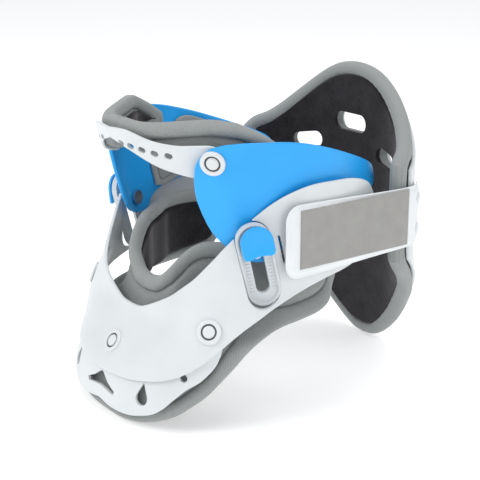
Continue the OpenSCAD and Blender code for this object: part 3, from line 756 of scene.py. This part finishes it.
def seam(name, body, surface, ends, edges, inset, off):
    """Row of stitches around a pad, inset from its edge on the surface at off."""
    s = np.linspace(ends[0], ends[1], 500)
    low, high = edges(s)
    plan = surface(s, (low + high) / 2, 0 * s)[:, :2]
    run = np.r_[0, np.cumsum(np.linalg.norm(np.diff(plan, axis=0), axis=1))]
    right, left = (np.linspace(low[i], high[i], 30)[1:-1] for i in (-1, 0))
    ring = np.vstack([np.c_[run, low], np.c_[run[-1] + 0 * right, right],
                      np.c_[run, high][::-1], np.c_[0 * left, left[::-1]]])
    ahead = unit(np.roll(ring, -1, 0) - np.roll(ring, 1, 0))
    line = ring + inset * np.stack([-ahead[:, 1], ahead[:, 0]], -1)
    gap = np.linalg.norm(line[:, None] - ring[None], axis=2).min(1)
    line = line[gap > inset - 0.15]
    line = np.vstack([line, line[:1]])
    made = sewn(name, surface(np.interp(line[:, 0], run, s), line[:, 1], off), thread_grey)
    return settle(made, body, None, "grey_knit")


def rim_field(width):
    return {"rim": lambda d: 1 - ease((d - width + 0.9) / 1.8)}


front_pad = panel("front_pad_cover", pad_skin, (-116, 116), by_angle(PAD_EDGE), NEAR_SOFT, 16,
                  stuffed(-4.1, 3.8, 8.6, 2.9, 0.1), rim_field(8.6), 1.8)
settle(front_pad, "front", grey_knit, "grey_knit", "front_pad", fill=0.7)
seam("front_pad_stitches", "front", pad_skin, (-116, 116), by_angle(PAD_EDGE), 8.2, -2.7)

front_lining = panel("front_pad_velour", pad_skin, (-109, 109), drawn_in(by_angle(PAD_EDGE), 8.2),
                     NEAR_LINING, 14, brushed(-6, -6.2, -1.9, 1.6, 0.08))
settle(front_lining, "front", black_velour, "black_lining", "front_pad_lining")

chin_pad = panel("chin_pad_cover", chin_skin, (-9, 9), by_angle(CHIN_EDGE), NEAR_SOFT, 10,
                 stuffed(-3.4, 4.2, 8.4, 2.6, 1.3), rim_field(8.4), 1.6)
settle(chin_pad, "chin_rest", grey_knit, "grey_knit", "chin_pad", fill=0.75)
seam("chin_pad_stitches", "chin_rest", chin_skin, (-9, 9), by_angle(CHIN_EDGE), 8, -1.3)


def chin_lining_edges(s):
    """The lining narrows to nothing at the front, where the rolled rims meet."""
    low, high = by_angle(CHIN_EDGE)(s)
    middle, half = (low + high) / 2 - 1.5, np.maximum((high - low) / 2 - 8.4, 0.5)
    return middle - half, middle + half


chin_lining = panel("chin_pad_velour", chin_skin, (-8.4, 8.4), chin_lining_edges,
                    NEAR_LINING, 8, brushed(-4.6, -5.2, -2.3, 1.8, 0.08))
settle(chin_lining, "chin_rest", black_velour, "black_lining", "chin_pad_lining")

arm_pad = panel("arm_pad_left_cover", arm_skin, (-17, 56), by_place(ARM_PAD_EDGE), NEAR_SOFT[:9], 10,
                stuffed(-3.4, 1, 4.2, 0.9, 0, 0.08), rim_field(4.2), 1.6)
arm_pad_right = mirrored(arm_pad, "arm_pad_right_cover")
settle(arm_pad, "chin_frame", grey_knit, "grey_knit", "arm_pad_left", fill=0.7)
settle(arm_pad_right, "chin_frame", grey_knit, "grey_knit", "arm_pad_right", fill=0.7)


# ---- Front shell and flap ----
TO_SLOT = (Matrix.Translation(BUTTON) @ Matrix.Rotation(math.radians(14), 4, "X")
           @ Matrix.Rotation(math.radians(64), 4, "Z") @ Matrix.Rotation(math.radians(90), 4, "X"))
FLIP = Matrix.Diagonal((-1, 1, 1, 1))


def slot_cutters():
    window = stadium(9.85, -28.8, 1, 28)
    slit = [(13.6, -18), (14.9, -17.4), (14.9, -1.6), (13.6, -1)]
    made = []
    for side in (Matrix.Identity(4), FLIP):
        made.append(prism(window, -12, 12, side @ TO_SLOT))
        made.append(prism(slit, -12, 8, side @ TO_SLOT))
    return made


def facing_front(turn):
    """Frame whose z points forwards from the neck's axis, turned about it; x stays level."""
    return Matrix.Rotation(math.radians(turn), 4, "Z") @ Matrix.Rotation(math.radians(90), 4, "X")


def drop(width, tip):
    """Teardrop outline with its round end down."""
    a = np.linspace(math.radians(160), math.radians(380), 22)
    r = width / 2
    side = np.c_[r * np.cos(a), r * np.sin(a)]
    return np.vstack([side, [(0.45, tip - 0.5), (0.2, tip - 0.1), (-0.2, tip - 0.1), (-0.45, tip - 0.5)]])


def flap_cutters():
    middle = [(-14.7, 16.6), (-13.6, 14.4), (-7, 15.6), (0, 16.4), (7, 15.6), (13.6, 14.4), (14.7, 16.6),
              (7.6, 19.8), (1.8, 24), (0, 24.6), (-1.8, 24), (-7.6, 19.8)]
    made = [prism(middle, 60, 120, facing_front(0))]
    for turn in (21.2, -21.2):
        made.append(prism(drop(8, 8.2) + [0, 19.1], 60, 120, facing_front(turn)))
    for turn in (35.5, -35.5):
        made.append(prism(drop(4.3, 2.8) + [0, 33.4], 60, 120, facing_front(turn)))
    return made


shell = cut(panel("front_shell_sheet", skin, (-127, 127), by_angle(SHELL_EDGE), NEAR_HARD, 34,
                  hard_sheet(0, 2), None, 1.6), slot_cutters())
settle(shell, "front", white_shell, "white_shell", "front_shell")
flap = cut(panel("sternal_flap_sheet", skin, (-48.9, 48.9), by_angle(FLAP_EDGE), NEAR_HARD, 26,
                 hard_sheet(-2.4, 1.6, 0.6), None, 1.6), flap_cutters())
settle(flap, "front", white_shell, "white_shell", "sternal_flap")

# ---- Rivets ----
RIVET = [(6.9, -0.6), (6.9, 0.3), (6.75, 0.6), (6.4, 0.78), (4.75, 0.82), (4.5, 0.7), (4.4, -0.9),
         (3.5, -0.9), (3.4, 0.55), (3.15, 0.85), (2.6, 1.0), (1.2, 1.1), (0.02, 1.12)]


def normal_of(surface, s, z, off=0.0, ds=0.4):
    a = surface(np.array(s + ds), np.array(z), off) - surface(np.array(s - ds), np.array(z), off)
    b = surface(np.array(s), np.array(z + 0.4), off) - surface(np.array(s), np.array(z - 0.4), off)
    return unit(np.cross(a, b))


def on_surface(surface, places, lift):
    """Spots and outward rotations for parts set on a surface."""
    spots, turns = [], []
    for s, z in places:
        n = normal_of(surface, s, z)
        spots.append(surface(np.array(s), np.array(z), 0.0) + lift * n)
        turns.append(turn_to(n))
    return spots, turns


def both_sides(spots, turns):
    flipped = [np.array(p) * (-1, 1, 1) for p in spots]
    outs = [q @ Vector((0, 0, 1)) for q in turns]
    return list(spots) + flipped, list(turns) + [turn_to((-v.x, v.y, v.z)) for v in outs]


GROOVE_SHADE_DISC = [(4.7, -0.5), (4.7, 0.02), (4.2, 0.05), (0.02, 0.05)]  # painted shade: a near-black disc at the floor of a rivet's ring, standing in for the shadow in its gap
RIVET_LIFT = 0.35  # of a rivet's base line above the face that it sits in
spots, turns = on_surface(skin, FRONT_RIVETS, RIVET_LIFT)
front_grooves = repeated("front_rivet_grooves", lathe("groove", GROOVE_SHADE_DISC), spots, turns, shadow_grey)
settle(front_grooves, "front", None, "rivet")
front_rivets = repeated("front_rivet_heads", lathe("rivet", RIVET), spots, turns, rivet_white)
settle(front_rivets, "front", None, "rivet", "front_rivets")
spots, turns = both_sides(*on_surface(arm_skin, [ARM_RIVET], RIVET_LIFT))
arm_grooves = repeated("arm_rivet_grooves", lathe("groove", GROOVE_SHADE_DISC), spots, turns, shadow_grey)
settle(arm_grooves, "chin_frame", None, "rivet")
arm_rivets = repeated("arm_rivet_heads", lathe("rivet", RIVET), spots, turns, rivet_white)
settle(arm_rivets, "chin_frame", None, "rivet", "arm_rivets")

# ---- Slot frames with their ticks, and height buttons ----
FRAME_RINGS = [(9.6, -28.8, 1, -3.2), (9.6, -28.8, 1, -0.1), (9.45, -28.8, 1, 0.3), (9.1, -28.8, 1, 0.55),
               (8.7, -28.8, 1, 0.6), (8.2, -28.8, 1, 0.45), (7.9, -28.8, 1, 0.1), (7.75, -28.8, 1, -0.8),
               (7.5, -28.7, 1, -1.15), (7, -28.6, 1, -1.25), (5, -27.8, -3.7, -1.25),
               (4.4, -27.5, -4.2, -1.05), (3.95, -27.3, -4.6, -1.1), (3.75, -27.3, -4.7, -1.4),
               (3.7, -27.3, -4.7, -3.2)]


def box_part(name, x, y, z, taper=0.75):
    low = np.array([(-x, -y), (x, -y), (x, y), (-x, y)]) / 2
    rings = [flat_ring(low, 0), flat_ring(low * 0.96, z * 0.6), flat_ring(low * taper, z)]
    return stacked(name, rings, Matrix.Translation((0, -AXIS_Y, 0)), sharp=30)


def ticks_on(side):
    out = side @ TO_SLOT.to_3x3().to_4x4()
    turn = turn_to(out @ Vector((0, 0, 1)), out @ Vector((1, 0, 0)))
    places = [(x, y) for x in (5.9, -5.9) for y in np.arange(-29, -10, 2.1)]
    spots = [np.array(side @ TO_SLOT @ Vector((x, y, -1.3))) for x, y in places]
    return spots, [turn] * len(spots)


for side, label in ((Matrix.Identity(4), "left"), (FLIP, "right")):
    rings = [flat_ring(stadium(r, lo, hi, 28), z) for r, lo, hi, z in FRAME_RINGS]
    body = stacked(f"slot_frame_{label}_rim", rings, side @ TO_SLOT, closed_round=True)
    settle(body, "front", frame_white, "white_shell", f"slot_frame_{label}")
    spots, turns = ticks_on(side)
    marks = repeated(f"height_ticks_{label}", box_part("tick", 1.9, 0.55, 0.45), spots, turns, frame_white)
    settle(marks, "front", None, "white_shell")


def button_outline(inset, n=22):
    """Round on top, with short straight sides and a slightly hollow lower edge."""
    top = np.linspace(0, math.pi, n)
    arc = np.c_[9 * np.cos(top), 9 * np.sin(top)]
    corner = np.linspace(math.pi, 1.5 * math.pi, 6)
    left = np.c_[-6.4 + 2.6 * np.cos(corner), -5.8 + 2.6 * np.sin(corner)]
    x = np.linspace(-5.8, 5.8, 9)
    low = np.c_[x, -8.4 + 0.9 * np.cos(x / 5.8 * math.pi / 2)]
    outline = np.vstack([arc, left, low, left[::-1] * (-1, 1)])
    return np.array((1.2, 1.2)) + outline * (1 - inset / 8.8)


BUTTON_RINGS = [(2.2, 2.4), (0.7, 2.3), (0.15, 2.55), (0, 2.9), (0, 3.6), (0.15, 4.0), (0.5, 4.3),
                (1.1, 4.45), (2.4, 4.4), (4.5, 4.25), (6.5, 4.15), (8, 4.12), (8.7, 4.12)]


def button_rings():
    rings = []
    for inset, z in BUTTON_RINGS:
        outline = button_outline(inset)
        rings.append(flat_ring(outline, z + 0.012 * (outline[:, 1] - 6) ** 2 * (outline[:, 1] < 6)))
    return rings


for side, label in ((Matrix.Identity(4), "left"), (FLIP, "right")):
    cap = stacked(f"height_button_{label}_cap", button_rings(), side @ TO_SLOT)
    settle(cap, f"button_{label}", blue_plastic, "blue_plastic", f"height_button_{label}")

# ---- Arms ----
arm = panel("arm_left_sheet", arm_skin, (-54.2, 68), by_place(ARM_EDGE), NEAR_HARD, 30,
            hard_sheet(0, 2.2, 0.8), None, 1.6)
arm_right = mirrored(arm, "arm_right_sheet")
settle(arm, "chin_frame", blue_plastic, "blue_plastic", "arm_left")
settle(arm_right, "chin_frame", blue_plastic, "blue_plastic", "arm_right")


# ---- Chin plate ----
CHIN_VENTS = [(0.65, 157.5), (1.12, 156.7), (1.58, 155.3), (2.08, 153.8), (2.64, 152.8)]


def vent_cutters():
    """Cutters for the small vents on both halves, each slot lying along the plate."""
    made = []
    for s, z in CHIN_VENTS:
        w = normal_of(plate_skin, s, z, ds=0.02)
        p = plate_skin(np.array(s), np.array(z), 0.0)
        turn = turn_to(w, np.cross((0, 0, 1), w) - [0, 0, 0.35]).to_matrix().to_4x4()
        place = Matrix.Translation(p) @ turn
        hole = stadium(1.6, -0.7, 0.7, 12)[:, ::-1]
        made += [prism(hole, -4, 4, side @ place) for side in (Matrix.Identity(4), FLIP)]
    return made


plate = cut(panel("chin_plate_sheet", plate_skin, (-6, 6), by_angle(PLATE_EDGE), NEAR_HARD, 12,
                  hard_sheet(0, 2), None, 1.2), vent_cutters())
settle(plate, "chin_rest", white_shell, "white_shell", "chin_plate")


# ---- Rear panel ----
def vents(grow):
    made = []
    for psi, z, width, height, tilt in REAR_VENTS:
        place = (Matrix.Rotation(math.radians(-psi), 4, "Z") @ Matrix.Translation((0, 60, z))
                 @ Matrix.Rotation(math.radians(-90), 4, "X")
                 @ Matrix.Rotation(math.radians(tilt + 90), 4, "Z"))
        half = (width - height) / 2
        made.append(prism(stadium(height / 2 + grow, -half, half, 18), 0, 60, place))
    return made


rear_pad = cut(panel("rear_pad_cover", rear_skin, (-51.5, 51.5), by_angle(REAR_EDGE), NEAR_SOFT, 40,
                     stuffed(4.6, 4.2, 8.2, 2.9, -0.6, 0.3), rim_field(8.2), 2.2), vents(0))
settle(rear_pad, "rear_panel", grey_knit, "grey_knit", "rear_pad", fill=0.7)
seam("rear_pad_stitches", "rear_panel", rear_skin, (-51.5, 51.5), by_angle(REAR_EDGE), 7.6, 2.6)
rear_lining = cut(panel("rear_pad_velour", rear_skin, (-46.5, 46.5), drawn_in(by_angle(REAR_EDGE), 8),
                        NEAR_LINING, 40, brushed(2.4, 2.1, -2.0, 1.6, 0.25), None, 2.2), vents(-0.3))
settle(rear_lining, "rear_panel", black_velour, "black_lining", "rear_pad_lining")
rear_shell = cut(panel("rear_shell_sheet", rear_skin, (-47.3, 47.3), drawn_in(by_angle(REAR_EDGE), 9),
                       NEAR_HARD, 44, hard_sheet(10.2, 2.2, 0.8), None, 2), vents(2))
settle(rear_shell, "rear_panel", white_shell, "white_shell", "rear_shell")


# ---- Straps ----
STRAP_END = STRAP_RUN[-1]
STRAP_LOW, STRAP_HIGH = 85.5, 127
STRAP_CORNER = 9
NARROWING = 95  # run over which a strap narrows towards the rear shell
PATCH_RUN = (9, 88)
PATCH_LOW, PATCH_HIGH = 91, 124


def strap_edges(run):
    across = STRAP_CORNER - np.clip(run, 0, STRAP_CORNER)
    corner = STRAP_CORNER - np.sqrt(STRAP_CORNER ** 2 - across ** 2)
    narrow = ease(run / NARROWING)
    return STRAP_LOW + corner + 3 * narrow, STRAP_HIGH - corner - 2.5 * narrow


def strap_faces(d, run, z):
    edge = 0.45 * (1 - np.sqrt(1 - (1 - np.clip(d / 0.45, 0, 1)) ** 2))
    return 0.95 - edge + 0.85 * ease((d - 1.6) / 1.6), 0 + edge


def patch_faces(d, run, z):
    edge = 0.5 * (1 - np.sqrt(1 - (1 - np.clip(d / 0.5, 0, 1)) ** 2))
    return 2.95 - edge + uneven(run, z, 0.05), 1.75 + 0 * d


def patch_edges(run):
    return PATCH_LOW + 0 * run, PATCH_HIGH + 0 * run


NEAR_STRAP = (0, 0.05, 0.18, 0.45, 1, 1.6, 2, 2.4, 2.8, 3.3, 4)
NEAR_PATCH = (0, 0.05, 0.2, 0.5, 1.2)
strap = panel("strap_left_tongue", strap_skin, (0, STRAP_END), strap_edges, NEAR_STRAP, 10,
              strap_faces, None, 1.5)
strap_right = mirrored(strap, "strap_right_tongue")
settle(strap, "rear_panel", strap_white, "strap_white", "strap_left")
settle(strap_right, "rear_panel", strap_white, "strap_white", "strap_right")
patch = panel("loop_patch_left_tape", strap_skin, PATCH_RUN, patch_edges, NEAR_PATCH, 16,
              patch_faces, None, 2)
patch_right = mirrored(patch, "loop_patch_right_tape")
settle(patch, "rear_panel", warm_loop, "loop_fabric", "loop_patch_left")
settle(patch_right, "rear_panel", warm_loop, "loop_fabric", "loop_patch_right")

SMALL_RIVET = [(3.5, -0.4), (3.5, 0.3), (3.2, 0.6), (2.4, 0.85), (1.2, 0.98), (0.02, 1.0)]
spots, turns = both_sides(*on_surface(strap_skin, [(STRAP_END - 6.5, z) for z in STRAP_RIVETS], 1.9))
strap_rivets = repeated("strap_rivet_heads", lathe("rivet", SMALL_RIVET, 32), spots, turns, rivet_white)
settle(strap_rivets, "rear_panel", None, "rivet", "strap_rivets")

# ---- Parts carried over from the frame as they are ----
for label in ("left", "right"):
    for node, finish in ((f"slider_pin_{label}", steel), (f"lock_pawl_{label}", steel),
                         (f"hook_patch_{label}", hook_white), (f"ratchet_rail_{label}", frame_white)):
        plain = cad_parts[node]
        plain.data.materials.clear()
        plain.data.materials.append(finish)

# ---- Floor, light and camera ----
FLOOR_HALF = 4
FLOOR_Z = -0.0002
floor_mesh = bpy.data.meshes.new("floor")
floor_mesh.from_pydata([(x * FLOOR_HALF, y * FLOOR_HALF, FLOOR_Z)
                        for x, y in ((-1, -1), (1, -1), (1, 1), (-1, 1))], [], [(0, 1, 2, 3)])
floor = linked("floor", floor_mesh)
paper = Finish("pale_paper", Roughness=0.9, Specular_IOR_Level=0.1, Emission_Strength=0.32)
paper.shader.inputs["Emission Color"].default_value = (1, 1, 1, 1)
cloudy = paper.noise(paper.place(400), detail=2)
paper.colour(paper.ramp(cloudy, (0.0, (0.93, 0.93, 0.93)), (1.0, (0.96, 0.96, 0.96))))
floor.data.materials.append(paper.material)


def lamp(name, place, aim, size, power, colour=(1, 1, 1)):
    light = bpy.data.lights.new(name, "AREA")
    light.shape, light.size, light.energy, light.color = "DISK", size, power, colour
    made = bpy.data.objects.new(name, light)
    made.location = place
    made.rotation_euler = (Vector(aim) - Vector(place)).to_track_quat("-Z", "Y").to_euler()
    bpy.context.scene.collection.objects.link(made)


lamp("key", (-0.25, -1.1, 1.1), (0, 0, 0.08), 0.9, 8)
lamp("side", (1.2, 0.1, 0.6), (0, 0, 0.08), 0.9, 3)
lamp("top", (0.1, 0.2, 1.5), (0, 0, 0.1), 1.2, 6)
world = bpy.data.worlds.new("studio")
world.use_nodes = True
world.node_tree.nodes["Background"].inputs["Color"].default_value = (0.97, 0.985, 1, 1)
world.node_tree.nodes["Background"].inputs["Strength"].default_value = 0.62
bpy.context.scene.world = world
bpy.context.scene.view_settings.view_transform = "Standard"

AZIMUTH, ELEVATION, REACH = math.radians(54), math.radians(17), 0.7
target = Vector((0, AXIS_Y * MM, 0.087))
camera_data = bpy.data.cameras.new("camera")
camera_data.lens = 87.15
camera_data.sensor_width = 36
camera_data.shift_x = 0.0041667
camera_data.shift_y = -0.00625
camera = bpy.data.objects.new("camera", camera_data)
camera.location = target + REACH * Vector((math.sin(AZIMUTH) * math.cos(ELEVATION),
                                           -math.cos(AZIMUTH) * math.cos(ELEVATION),
                                           math.sin(ELEVATION)))
camera.rotation_euler = (target - camera.location).to_track_quat("-Z", "Y").to_euler()
bpy.context.scene.collection.objects.link(camera)
bpy.context.scene.camera = camera
